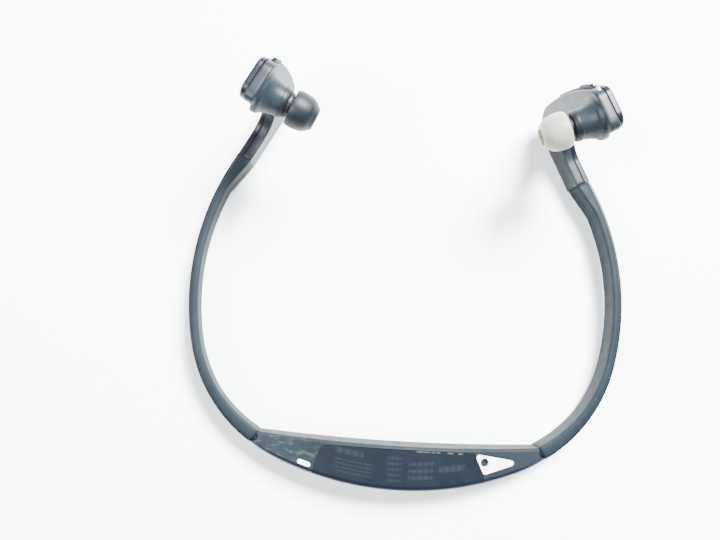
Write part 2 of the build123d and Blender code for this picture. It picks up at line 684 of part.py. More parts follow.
# Edge key: rocker on the front edge, with two grip ribs near the free end.
with BuildPart() as edge_key:
    with BuildSketch(ear_plane.offset(-ROCKER_DEPTHS[1])):
        make_face(ring_sector(ROCKER_RADII, ROCKER_ARC))
    extrude(amount=ROCKER_DEPTHS[1] - ROCKER_DEPTHS[0])
    for depth in RIB_DEPTHS:
        with BuildSketch(ear_plane.offset(-depth - RIB_WIDTH / 2)):
            make_face(ring_sector((ROCKER_RADII[1] - 0.2, ROCKER_RADII[1] + RIB_HEIGHT), RIB_ARC))
        extrude(amount=RIB_WIDTH)
save_pair(edge_key.part, "edge_key")

with BuildPart() as edge_key_slot:
    with BuildSketch(ear_plane.offset(-ROCKER_DEPTHS[1] - KEY_GAP)):
        make_face(ring_sector((ROCKER_RADII[0] - 0.6, ROCKER_RADII[1] + 1), ROCKER_ARC, 0.2))
    extrude(amount=ROCKER_DEPTHS[1] - ROCKER_DEPTHS[0] + 2 * KEY_GAP)

# Light window: clear stud in the front edge above the edge key, on the right only.
window_start = ear_plane.from_local_coords(Vector(*point_on_front(WINDOW_ANGLE, FRONT_R - 2), -WINDOW_DEPTH))
window_plane = Plane(origin=window_start, x_dir=ear_outward, z_dir=ear_forward)
with BuildPart() as light_window:
    with BuildSketch(window_plane):
        Circle(WINDOW_R)
    extrude(amount=WINDOW_LENGTH)
    fillet(light_window.faces().sort_by(Axis(ear_foot, ear_forward))[-1].edges(), 0.3)
save(light_window.part, "light_window")

# Housing: grey shell on the head side, with the horn that carries the nozzle.
with BuildPart() as ear_blank:
    with BuildSketch(ear_plane.offset(-CAP_THICK)):
        add(hook_outline(0))
    extrude(amount=CAP_THICK - EAR_THICK)
    with BuildSketch(ear_plane.offset(-CAP_THICK + 0.3)):
        add(hook_outline(EAR_WALL))
    extrude(amount=CAP_THICK - EAR_THICK + EAR_WALL - 0.3, mode=Mode.SUBTRACT)
    add(edge_key_slot, mode=Mode.SUBTRACT)
    add(arm_cable, mode=Mode.SUBTRACT)
    inner_rim = ear_blank.faces().sort_by(Axis(ear_foot, ear_outward))[0].edges()
    fillet(inner_rim.filter_by(not_at_seam), EAR_EDGE_R)
    with BuildSketch(nozzle_plane):
        make_face(horn_profile(0, -1.3, HORN_LENGTH))
    revolve(axis=nozzle_line)
    with BuildSketch(nozzle_plane):
        make_face(horn_profile(EAR_WALL, -2.5, HORN_LENGTH - EAR_WALL))
    revolve(axis=nozzle_line, mode=Mode.SUBTRACT)
    with BuildSketch(nozzle_plane):
        with Locations((HORN_LENGTH, SOUND_BORE_R / 2)):
            Rectangle(2 * EAR_WALL + 1, SOUND_BORE_R)
    revolve(axis=nozzle_line, mode=Mode.SUBTRACT)

with BuildPart() as ear_housing_right:
    add(ear_blank)
    add(light_window, mode=Mode.SUBTRACT)
save(ear_housing_right.part, "ear_housing_right")
save(mirror(ear_blank.part, about=Plane.YZ), "ear_housing_left")

# Nozzle: dark collar against the horn and the stem that the ear tip is pushed on.
with BuildPart() as nozzle:
    with BuildSketch(nozzle_plane):
        with BuildLine():
            Polyline((HORN_LENGTH, SOUND_BORE_R), (HORN_LENGTH, COLLAR_R),
                     (HORN_LENGTH + COLLAR_LENGTH, COLLAR_R), (HORN_LENGTH + COLLAR_LENGTH, STEM_R),
                     (HORN_LENGTH + STEM_LENGTH, STEM_R), (HORN_LENGTH + STEM_LENGTH, SOUND_BORE_R),
                     close=True)
        make_face()
    revolve(axis=nozzle_line)
save_pair(nozzle.part, "nozzle")

with BuildPart() as nozzle_mesh:
    with BuildSketch(nozzle_plane):
        with Locations((HORN_LENGTH + STEM_LENGTH - 0.5, SOUND_BORE_R / 2)):
            Rectangle(MESH_THICK, SOUND_BORE_R)
    revolve(axis=nozzle_line)
save_pair(nozzle_mesh.part, "nozzle_mesh")

# Driver: magnet and basket inside the base of the horn.
with BuildPart() as driver:
    with BuildSketch(nozzle_plane):
        with BuildLine():
            Polyline((DRIVER_START, 0), (DRIVER_START, MAGNET_R), (DRIVER_START + 1.0, MAGNET_R),
                     (DRIVER_START + 1.0, DRIVER_R), (DRIVER_START + DRIVER_THICK, DRIVER_R),
                     (DRIVER_START + DRIVER_THICK, 0), close=True)
        make_face()
    revolve(axis=nozzle_line)
save_pair(driver.part, "driver")

# Ear tip: silicone umbrella, a thin skirt turned back from the end of an inner sleeve.
with BuildPart() as ear_tip:
    with BuildSketch(nozzle_plane):
        with BuildLine():
            skirt_end = TIP_START + 0.2
            tip_end = TIP_START + TIP_LENGTH
            ThreePointArc((skirt_end, TIP_RIM_R), (TIP_START + 4.8, 5.55), (tip_end - 0.5, TIP_END_R))
            ThreePointArc((tip_end - 0.5, TIP_END_R), (tip_end - 0.1, TIP_END_R - 0.35),
                          (tip_end, TIP_END_R - 0.8))
            Polyline((tip_end, TIP_END_R - 0.8), (tip_end, TIP_BORE_R), (TIP_START, TIP_BORE_R),
                     (TIP_START, TIP_SLEEVE_R), (tip_end - 2.8, TIP_SLEEVE_R))
            ThreePointArc((tip_end - 2.8, TIP_SLEEVE_R), (TIP_START + 4.6, 5.55 - TIP_WALL),
                          (skirt_end, TIP_RIM_R - TIP_WALL))
            Line((skirt_end, TIP_RIM_R - TIP_WALL), (skirt_end, TIP_RIM_R))
        make_face()
    revolve(axis=nozzle_line)
save_pair(ear_tip.part, "ear_tip")

# Key board: leans with the hook, close to the cap.
with BuildPart() as key_board:
    with BuildSketch(ear_plane.offset(-SWITCH_FACE - MAIN_SWITCH_THICK)):
        with BuildLine():
            Polyline(*KEY_BOARD_CORNERS, close=True)
        make_face()
    extrude(amount=-BOARD_THICK)
save_pair(key_board.part, "key_board")

with BuildPart() as main_switch:
    with BuildSketch(Plane(origin=key_plane.origin - ear_outward * SWITCH_FACE, x_dir=ear_forward,
                           z_dir=ear_outward)):
        Rectangle(MAIN_SWITCH_SIZE, MAIN_SWITCH_SIZE)
    extrude(amount=-MAIN_SWITCH_THICK)
save_pair(main_switch.part, "main_switch")

# Edge switches: one behind each end of the edge key.
with BuildPart() as edge_switches:
    with BuildSketch(ear_plane.offset(-EDGE_SWITCH_DEPTH)):
        for angle in EDGE_SWITCH_ANGLES:
            middle = point_on_front(angle, ROCKER_RADII[0] - EDGE_SWITCH_INSET)
            along = (cos(radians(angle)), sin(radians(angle)), 0)
            with Locations(Location(Plane(origin=(*middle, 0), x_dir=along))):
                Rectangle(*EDGE_SWITCH_SIZE[:2])
    extrude(amount=EDGE_SWITCH_SIZE[2])
save_pair(edge_switches.part, "edge_switches")

with BuildPart() as microphone:
    with BuildSketch(Plane(origin=ear_plane.from_local_coords(Vector(*MIC_AT, -CAP_THICK)), x_dir=ear_forward,
                           z_dir=ear_outward)):
        Circle(MIC_R)
    extrude(amount=-MIC_THICK)
save(mirror(microphone.part, about=Plane.YZ), "microphone")

# ---------------------------------------------------------------- positions needed for the joints
print("seam axis right", HINGE)
print("nozzle axis right", tuple(nozzle_axis), "foot", tuple(nozzle_foot))
print("ear outward", tuple(ear_outward), "forward", tuple(ear_forward))
rocker_middle = point_on_front(sum(ROCKER_ARC) / 2, ROCKER_RADII[0])
rocker_pivot = ear_plane.from_local_coords(Vector(*rocker_middle, -sum(ROCKER_DEPTHS) / 2))
print("edge key pivot", tuple(rocker_pivot))
print("jack", JACK_AT, "power key", POWER_KEY_AT)
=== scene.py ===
import json
from math import asin, atan2, cos, pi, radians, sin, sqrt

import bmesh
import bpy
from mathutils import Matrix, Vector


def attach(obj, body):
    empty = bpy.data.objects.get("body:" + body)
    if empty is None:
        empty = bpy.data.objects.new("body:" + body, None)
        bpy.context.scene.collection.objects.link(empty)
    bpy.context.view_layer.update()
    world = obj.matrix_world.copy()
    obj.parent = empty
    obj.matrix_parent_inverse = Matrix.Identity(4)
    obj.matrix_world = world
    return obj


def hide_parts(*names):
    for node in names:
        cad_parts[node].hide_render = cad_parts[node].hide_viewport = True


# Neckband earphones lying on a pale surface. Metres; X to the arm with the clear tip, Y to the
# earpieces, Z up.
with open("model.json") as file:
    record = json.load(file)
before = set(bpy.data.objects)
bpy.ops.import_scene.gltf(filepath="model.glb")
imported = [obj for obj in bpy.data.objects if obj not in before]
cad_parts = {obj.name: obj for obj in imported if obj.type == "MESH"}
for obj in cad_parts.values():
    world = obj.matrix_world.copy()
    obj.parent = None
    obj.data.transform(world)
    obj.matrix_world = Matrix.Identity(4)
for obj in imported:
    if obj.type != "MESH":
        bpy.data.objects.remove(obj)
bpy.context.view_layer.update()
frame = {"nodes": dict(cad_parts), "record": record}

# ---------------------------------------------------------------- dimensions shared with the model
DEPTH = 0.1347                 # back face of the band to the front of the earpieces
BACK_Y = -DEPTH / 2
CREASE_Y = BACK_Y + 0.0135      # inner edge of the label cover
BAND_ARCS = [(0.110, 0.041), (0.051, 0.050), (0.091, 0.0635)]    # radius, length along the outer face
CURVE_END = sum(length for radius, length in BAND_ARCS)
SEAM = 0.052
ARM_END = CURVE_END + 0.0037
BAND_HEIGHT = 0.010
ARM_ARCH = 0.003
ARM_CROWN = 0.002
STRIP_THICK = 0.0008
ARM_EDGE_R = 0.0008
ARCH_MARGINS = (0.0001, 0.003)  # the arch starts just before the seam and ends past the arm
ARM_THICKNESS = [(SEAM, 0.0046), (0.072, 0.0034), (0.091, 0.003), (0.126, 0.003), (0.146, 0.00315),
                 (CURVE_END, 0.0046), (ARM_END, 0.0051)]
STRIP_CLEARANCE = 0.00001
SLEEVE_STOPS = 72
END_SHRINK = 0.00012           # the sleeve's two end faces are this much smaller all round
OUTER_LIP = 0.00022            # bevel of the sleeve's two outer corners
SLEEVE_LEAD = 0.0004           # the sleeve starts this far before the flex axis
CORE_REACH = 0.00066           # the seam's tongue reaches this far to either side of the axis
CORE_INSET = 0.00025           # and lies this far below the surface of the band
KNUCKLE_R = 0.0016             # pin in the back section's socket
KNUCKLE_SIDES = 32

EAR_FORWARD = 0.019
EAR_SEAM = -0.0153             # start of an earpiece, measured forward from its middle
EAR_THICK = 0.0051
EAR_HEIGHT = 0.050
CAP_THICK = 0.0018
EAR_WALL = 0.001
LOOP_R = 0.014
FRONT_R = 0.085
FREE_END_R = 0.004
ROCKER_ARC = (6.8, 22.1)       # degrees above the level of the front edge's centre
ROCKER_DEPTHS = (0.00215, 0.00355)
ROCKER_BACK_R = 0.0837
KEY_GAP = 0.00015
NOZZLE_YAW = radians(5)
NOZZLE_DROP = radians(8)
NOZZLE_AT = (-0.0006, 0.0423)
HORN_LENGTH = 0.0073
TIP_START = 0.00835            # along the nozzle, from the inner face of the housing
TIP_LENGTH = 0.0086
TIP_RIM_R = 0.00575
TIP_END_R = 0.0040
TIP_WALL = 0.0008
TIP_BORE_R = 0.00255
TIP_SLEEVE_R = 0.0035

SIDES = {"right": 1, "left": -1}


# ---------------------------------------------------------------- camera
CAMERA_HEIGHT = 0.2463         # above the surface the band lies on
OBJECT_SHIFT = Vector((0.0239, -0.0485, 0))    # from under the camera to the back's outer face
OBJECT_TURN = -0.066           # radians, anticlockwise in the picture
CAMERA_TILT = (radians(5.86), radians(-2.84))
LENS = 34.97


def place_camera():
    """Camera nearly straight above the loop, a little to the left of its middle."""
    to_object = Matrix.Rotation(-OBJECT_TURN, 4, "Z")
    place = to_object @ (Vector((0, 0, CAMERA_HEIGHT)) - OBJECT_SHIFT) + Vector((0, BACK_Y, 0))
    tilt = Matrix.Rotation(CAMERA_TILT[1], 4, "Y") @ Matrix.Rotation(CAMERA_TILT[0], 4, "X")
    lens = bpy.data.cameras.new("camera")
    lens.sensor_width = 36
    lens.lens = LENS
    lens.clip_start = 0.005
    lens.clip_end = 5
    camera = bpy.data.objects.new("camera", lens)
    camera.matrix_world = Matrix.Translation(place) @ to_object @ tilt
    bpy.context.scene.collection.objects.link(camera)
    bpy.context.scene.camera = camera


place_camera()


# ---------------------------------------------------------------- paths
def band_point(distance, inset=0.0):
    """Plan point and heading at a distance along the outer face from the back centre."""
    x, y, heading, remaining = 0.0, BACK_Y, 0.0, distance
    for radius, length in BAND_ARCS:
        step = min(remaining, length)
        turned = heading + step / radius
        x += radius * (sin(turned) - sin(heading))
        y += radius * (cos(heading) - cos(turned))
        heading = turned
        remaining -= step
    x += remaining * cos(heading) - inset * sin(heading)
    y += remaining * sin(heading) + inset * cos(heading)
    return x, y, heading


def between(stations, distance):
    """Value at a distance, on straight lines through (distance, value) stations."""
    for (start, low), (end, high) in zip(stations, stations[1:]):
        if distance <= end:
            t = max(0.0, (distance - start) / (end - start))
            return low + (high - low) * t
    return stations[-1][1]


def arch(y, rise):
    """Height of a circular arch of the given rise that spans the arm's length."""
    start = band_point(SEAM)[1] - ARCH_MARGINS[0]
    end = band_point(ARM_END + ARCH_MARGINS[1])[1]
    half = (end - start) / 2
    radius = (half * half + rise * rise) / (2 * rise)
    off = y - (start + end) / 2
    return sqrt(max(radius * radius - off * off, 0)) - (radius - rise)


ear_heading = band_point(CURVE_END + EAR_FORWARD)[2]
EAR_FOOT = Vector((*band_point(CURVE_END + EAR_FORWARD)[:2], 0))
FORWARD = Vector((cos(ear_heading), sin(ear_heading), 0))
OUTWARD = Vector((FORWARD.y, -FORWARD.x, 0))
LEVEL = -OUTWARD * cos(NOZZLE_YAW) + FORWARD * sin(NOZZLE_YAW)
NOZZLE_AXIS = LEVEL * cos(NOZZLE_DROP) + Vector((0, 0, -sin(NOZZLE_DROP)))
NOZZLE_FOOT = EAR_FOOT + FORWARD * NOZZLE_AT[0] + Vector((0, 0, NOZZLE_AT[1])) - OUTWARD * EAR_THICK


# ---------------------------------------------------------------- mesh helpers
def mesh_object(name, points, faces):
    """Smooth-shaded mesh object with consistent outward normals."""
    mesh = bpy.data.meshes.new(name)
    mesh.from_pydata([tuple(p) for p in points], [], faces)
    mesh.update()
    piece = bpy.data.objects.new(name, mesh)
    bpy.context.scene.collection.objects.link(piece)
    shape = bmesh.new()
    shape.from_mesh(mesh)
    bmesh.ops.recalc_face_normals(shape, faces=shape.faces)
    shape.to_mesh(mesh)
    shape.free()
    mesh.shade_smooth()
    return piece


def mirrored(point, side):
    return Vector((point.x * SIDES[side], point.y, point.z))


def loft(name, rings, side, capped=True):
    """Surface through closed rings of points, mirrored on the left-hand side."""
    count = len(rings[0])
    points = [mirrored(p, side) for ring in rings for p in ring]
    faces = []
    for r in range(len(rings) - 1):
        for i in range(count):
            j = (i + 1) % count
            faces.append((r * count + i, r * count + j, (r + 1) * count + j, (r + 1) * count + i))
    if capped:
        faces.append(tuple(range(count)))
        faces.append(tuple((len(rings) - 1) * count + i for i in range(count)))
    return mesh_object(name, points, faces)


def rounded_section(low, high, inner, outer, radius, steps=5):
    """Closed loop of (depth, height) points: inner corners rounded, outer corners bevelled."""
    loop = []
    for depth, height, start in ((inner - radius, high - radius, 90), (inner - radius, low + radius, 0)):
        for k in range(steps + 1):
            angle = radians(start - 90 * k / steps)
            loop.append((depth + radius * cos(angle), height + radius * sin(angle)))
        if start == 90:
            for t in (0.25, 0.5, 0.75):
                loop.append((inner, high - radius + (low - high + 2 * radius) * t))
    loop += [(outer + OUTER_LIP, low), (outer, low + OUTER_LIP),
             (outer, high - OUTER_LIP), (outer + OUTER_LIP, high)]
    return loop


# ---------------------------------------------------------------- soft pieces
def make_sleeve(side):
    """Rubber sleeve of one arm, from the seam to the earpiece."""
    rings = []
    start = SEAM - SLEEVE_LEAD
    for k in range(SLEEVE_STOPS + 1):
        distance = start + (ARM_END - start) * k / SLEEVE_STOPS
        x, y, heading = band_point(distance)
        low, high = arch(y, ARM_ARCH), BAND_HEIGHT + arch(y, ARM_CROWN)
        thick = between(ARM_THICKNESS, distance)
        shrink = END_SHRINK if k in (0, SLEEVE_STOPS) else 0.0
        ring = []
        for depth, height in rounded_section(low + shrink, high - shrink, thick - shrink,
                                             STRIP_THICK + STRIP_CLEARANCE + shrink, ARM_EDGE_R):
            ring.append(Vector((x - depth * sin(heading), y + depth * cos(heading), height)))
        rings.append(ring)
    return loft(f"sleeve_{side}", rings, side)


def make_seam_core(side):
    """Soft tongue of the sleeve that closes the seam a little below the surface."""
    rings = []
    for distance in (SEAM - CORE_REACH, SEAM, SEAM + CORE_REACH):
        x, y, heading = band_point(distance)
        section = rounded_section(CORE_INSET, BAND_HEIGHT - CORE_INSET, ARM_THICKNESS[0][1] - CORE_INSET,
                                  CORE_INSET, ARM_EDGE_R)
        rings.append([Vector((x - depth * sin(heading), y + depth * cos(heading), height))
                      for depth, height in section])
    return loft(f"seam_core_{side}", rings, side)


def make_knuckle(side):
    """Round pin of the sleeve that fills the back section's socket."""
    x, y, _ = band_point(SEAM, ARM_THICKNESS[0][1] / 2)
    angles = [2 * pi * k / KNUCKLE_SIDES for k in range(KNUCKLE_SIDES)]
    rings = [[Vector((x + KNUCKLE_R * cos(angle), y + KNUCKLE_R * sin(angle), height)) for angle in angles]
             for height in (CORE_INSET, BAND_HEIGHT - CORE_INSET)]
    return loft(f"knuckle_{side}", rings, side)


def smooth_path(points, per_span=8):
    """Catmull-Rom curve through (along, radius) points."""
    padded = [points[0]] + list(points) + [points[-1]]
    path = []
    for a, b, c, d in zip(padded, padded[1:], padded[2:], padded[3:]):
        for k in range(per_span):
            t = k / per_span
            path.append(tuple(0.5 * (2 * b[i] + (c[i] - a[i]) * t
                                     + (2 * a[i] - 5 * b[i] + 4 * c[i] - d[i]) * t * t
                                     + (3 * b[i] - a[i] - 3 * c[i] + d[i]) * t ** 3) for i in (0, 1)))
    path.append(tuple(points[-1]))
    return path


def revolve(name, outline, side, turns=72):
    """Closed outline of (along, radius) points turned about the nozzle's axis."""
    across = NOZZLE_AXIS.cross(Vector((0, 0, 1))).normalized()
    up = across.cross(NOZZLE_AXIS).normalized()
    rings = []
    for k in range(turns):
        angle = 2 * pi * k / turns
        out = across * cos(angle) + up * sin(angle)
        rings.append([NOZZLE_FOOT + NOZZLE_AXIS * along + out * radius for along, radius in outline])
    count = len(outline)
    points = [mirrored(p, side) for ring in rings for p in ring]
    faces = []
    for r in range(turns):
        for i in range(count):
            j, s = (i + 1) % count, (r + 1) % turns
            faces.append((r * count + i, r * count + j, s * count + j, s * count + i))
    return mesh_object(name, points, faces)


def make_tip(side):
    """Silicone umbrella: a thin skirt with a beaded rim, turned back from a thicker sleeve."""
    start, end = TIP_START + 0.0002, TIP_START + TIP_LENGTH
    skirt = TIP_RIM_R - TIP_WALL
    outer = [(start + 0.0001, TIP_RIM_R - 0.0009), (start + 0.00005, TIP_RIM_R - 0.0005),
             (start + 0.0004, TIP_RIM_R - 0.0002), (start + 0.0016, TIP_RIM_R + 0.00005),
             (start + 0.0030, TIP_RIM_R + 0.00005), (start + 0.0046, 0.00558), (start + 0.0062, 0.00505),
             (end - 0.0009, TIP_END_R), (end - 0.0003, 0.0035), (end, TIP_BORE_R + 0.0005),
             (end - 0.0001, TIP_BORE_R + 0.0001), (end - 0.0004, TIP_BORE_R)]
    inner = [(TIP_START, TIP_BORE_R), (TIP_START + 0.0001, TIP_SLEEVE_R - 0.0002),
             (TIP_START + 0.0006, TIP_SLEEVE_R), (end - 0.0034, TIP_SLEEVE_R), (end - 0.0027, 0.0038),
             (start + 0.0044, skirt - 0.0004), (start + 0.0020, skirt), (start + 0.00045, skirt - 0.0003)]
    outline = smooth_path(outer) + smooth_path(inner)
    return revolve(f"tip_{side}", outline, side)


# ---------------------------------------------------------------- housings
def arc_through(start, middle, end, steps):
    """Points of the circle through three plan points, without the last one."""
    (ax, ay), (bx, by), (cx, cy) = start, middle, end
    d = 2 * (ax * (by - cy) + bx * (cy - ay) + cx * (ay - by))
    a, b, c = ax * ax + ay * ay, bx * bx + by * by, cx * cx + cy * cy
    ux = (a * (by - cy) + b * (cy - ay) + c * (ay - by)) / d
    uy = (a * (cx - bx) + b * (ax - cx) + c * (bx - ax)) / d
    radius = sqrt((ax - ux) ** 2 + (ay - uy) ** 2)
    first, via, last = (atan2(y - uy, x - ux) for x, y in (start, middle, end))
    sweep = (last - first) % (2 * pi)
    if (via - first) % (2 * pi) > sweep:
        sweep -= 2 * pi
    return [(ux + radius * cos(first + sweep * k / steps), uy + radius * sin(first + sweep * k / steps))
            for k in range(steps)]


def straight(start, end, steps):
    return [(start[0] + (end[0] - start[0]) * k / steps, start[1] + (end[1] - start[1]) * k / steps)
            for k in range(steps)]


CORNER_STEPS = 12


def cut_corner(outline, corner, setback):
    """Replace the stretch of an outline near a corner by a smooth turn."""
    near = [i for i, p in enumerate(outline) if (Vector(p) - Vector(corner)).length < setback]
    before, after = outline[near[0] - 1], outline[(near[-1] + 1) % len(outline)]
    turn = []
    for k in range(1, CORNER_STEPS):
        t = k / CORNER_STEPS
        turn.append(tuple((1 - t) ** 2 * before[i] + 2 * t * (1 - t) * corner[i] + t * t * after[i]
                          for i in (0, 1)))
    return outline[:near[0]] + turn + outline[near[-1] + 1:]


def hook_outline():
    """Side plan of an earpiece: x forward, y up; the band curls up into a hook with a broad free end."""
    centre = (LOOP_R - FRONT_R, LOOP_R)
    top_angle = asin((EAR_HEIGHT - LOOP_R) / FRONT_R)
    top_front = (centre[0] + FRONT_R * cos(top_angle), EAR_HEIGHT)
    top_back = (-0.0086, EAR_HEIGHT)
    neck = (0.0018, 0.0189)
    throat = (-0.0069, BAND_HEIGHT)
    heel = EAR_SEAM
    outline = straight((heel, 0), (0, 0), 12)
    outline += [(LOOP_R * sin(pi / 2 * k / 24), LOOP_R - LOOP_R * cos(pi / 2 * k / 24)) for k in range(24)]
    outline += [(centre[0] + FRONT_R * cos(top_angle * k / 40),
                 centre[1] + FRONT_R * sin(top_angle * k / 40)) for k in range(40)]
    outline += straight(top_front, top_back, 24)
    outline += arc_through(top_back, (-0.0024, 0.034), neck, 36)
    outline += arc_through(neck, (-0.00075, 0.01275), throat, 16)
    outline += straight(throat, (heel, BAND_HEIGHT), 8)
    outline += straight((heel, BAND_HEIGHT), (heel, 0), 8)
    outline = cut_corner(outline, top_front, FREE_END_R * 0.75)
    return cut_corner(outline, top_back, FREE_END_R * 1.3)


def inset_outline(outline, inset):
    """Closed outline moved inward by an equal amount all round."""
    moved = []
    count = len(outline)
    for i in range(count):
        a, b, c = Vector(outline[i - 1]), Vector(outline[i]), Vector(outline[(i + 1) % count])
        first, second = (b - a).normalized(), (c - b).normalized()
        inward = Vector((-first.y - second.y, first.x + second.x))
        inward.normalize()
        grow = inset / max(0.4, inward.dot(Vector((-first.y, first.x))))
        moved.append(tuple(b + inward * grow))
    return moved


def ear_point(forward, up, depth):
    """Point of the right earpiece from its side plan and the depth below the cap's face."""
    return EAR_FOOT + FORWARD * forward + Vector((0, 0, up)) - OUTWARD * depth


def prism(name, outline, near, far, side):
    """Solid over an outline of the side plan between two depths."""
    return loft(name, [[ear_point(x, y, depth) for x, y in outline] for depth in (near, far)], side)


def ring_sector(radii, arc, steps=16):
    """Outline of a sector about the centre of the front edge."""
    outline = []
    for radius, angles in ((radii[1], arc), (radii[0], arc[::-1])):
        for k in range(steps + 1):
            angle = radians(angles[0] + (angles[1] - angles[0]) * k / steps)
            outline.append((LOOP_R - FRONT_R + radius * cos(angle), LOOP_R + radius * sin(angle)))
    return outline


def apply_modifiers(piece):
    """Bake a piece's modifiers into its mesh."""
    evaluated = piece.evaluated_get(bpy.context.evaluated_depsgraph_get())
    mesh = bpy.data.meshes.new_from_object(evaluated)
    piece.modifiers.clear()
    piece.data = mesh
    mesh.shade_smooth()


def carve(piece, *cutters):
    """Cut solids out of a piece and remove them from the scene."""
    for cutter in cutters:
        cut = piece.modifiers.new("cut", "BOOLEAN")
        cut.operation = "DIFFERENCE"
        cut.object = cutter
        cut.solver = "EXACT"
    apply_modifiers(piece)
    for cutter in cutters:
        bpy.data.objects.remove(cutter)


HORN_PROFILE = [(-0.0020, 0.0071), (0.0, 0.0069), (0.0006, 0.00635), (0.0015, 0.00585), (0.0029, 0.0053),
                (0.0050, 0.0049), (HORN_LENGTH, 0.00465)]
HORN_CORE_R = 0.0002            # the horn and the bore close up to a hair round the nozzle's axis
BORE_CORE_R = 0.00002
SOUND_BORE_R = 0.0016
BORE_START = -0.0012
BORE_STEPS = 40
CUT_MARGIN = 0.001              # cutters stand this far proud of the surface they open
SLOT_BEHIND = 0.0008            # the edge key's slot is this much deeper than the key
SLOT_IN_FRONT = 0.002
SLOT_ARC_GAP = 0.14             # degrees
VOXEL = 0.00028
RELAX_STEPS = 14


def make_housing(side):
    """Housing whose hook flares smoothly into the horn, hollow behind the cap."""
    outline = hook_outline()
    body = prism(f"housing_{side}", outline, CAP_THICK, EAR_THICK, side)
    flare = [(HORN_PROFILE[0][0], HORN_CORE_R)] + smooth_path(HORN_PROFILE) + [(HORN_LENGTH, HORN_CORE_R)]
    horn = revolve("horn", flare, side)
    join = body.modifiers.new("join", "BOOLEAN")
    join.operation = "UNION"
    join.object = horn
    join.solver = "EXACT"
    grid = body.modifiers.new("grid", "REMESH")
    grid.mode = "VOXEL"
    grid.voxel_size = VOXEL
    relax = body.modifiers.new("relax", "SMOOTH")
    relax.factor = 0.5
    relax.iterations = RELAX_STEPS
    apply_modifiers(body)
    bpy.data.objects.remove(horn)
    cavity = prism("cavity", inset_outline(outline, EAR_WALL), CAP_THICK - CUT_MARGIN,
                   EAR_THICK - EAR_WALL, side)
    slot = ring_sector((ROCKER_BACK_R - SLOT_BEHIND, FRONT_R + SLOT_IN_FRONT),
                       (ROCKER_ARC[0] - SLOT_ARC_GAP, ROCKER_ARC[1] + SLOT_ARC_GAP))
    slot_cut = prism("slot_cut", slot, ROCKER_DEPTHS[0] - KEY_GAP, ROCKER_DEPTHS[1] + KEY_GAP, side)
    bore_end = HORN_LENGTH + CUT_MARGIN
    bore = revolve("bore", [(BORE_START, BORE_CORE_R), (BORE_START, SOUND_BORE_R),
                            (bore_end, SOUND_BORE_R), (bore_end, BORE_CORE_R)], side, BORE_STEPS)
    carve(body, cavity, slot_cut, bore)
    return body


def make_horn_ring(side):
    """Dark ring round the end of the horn."""
    start = HORN_LENGTH - 0.0021
    outline = [(start, 0.0046), (start + 0.00005, 0.00492), (start + 0.0003, 0.00498),
               (HORN_LENGTH - 0.0004, 0.00478), (HORN_LENGTH + 0.00004, 0.0045),
               (HORN_LENGTH + 0.00004, 0.0043), (start + 0.0004, 0.0043)]
    return revolve(f"horn_ring_{side}", outline, side)


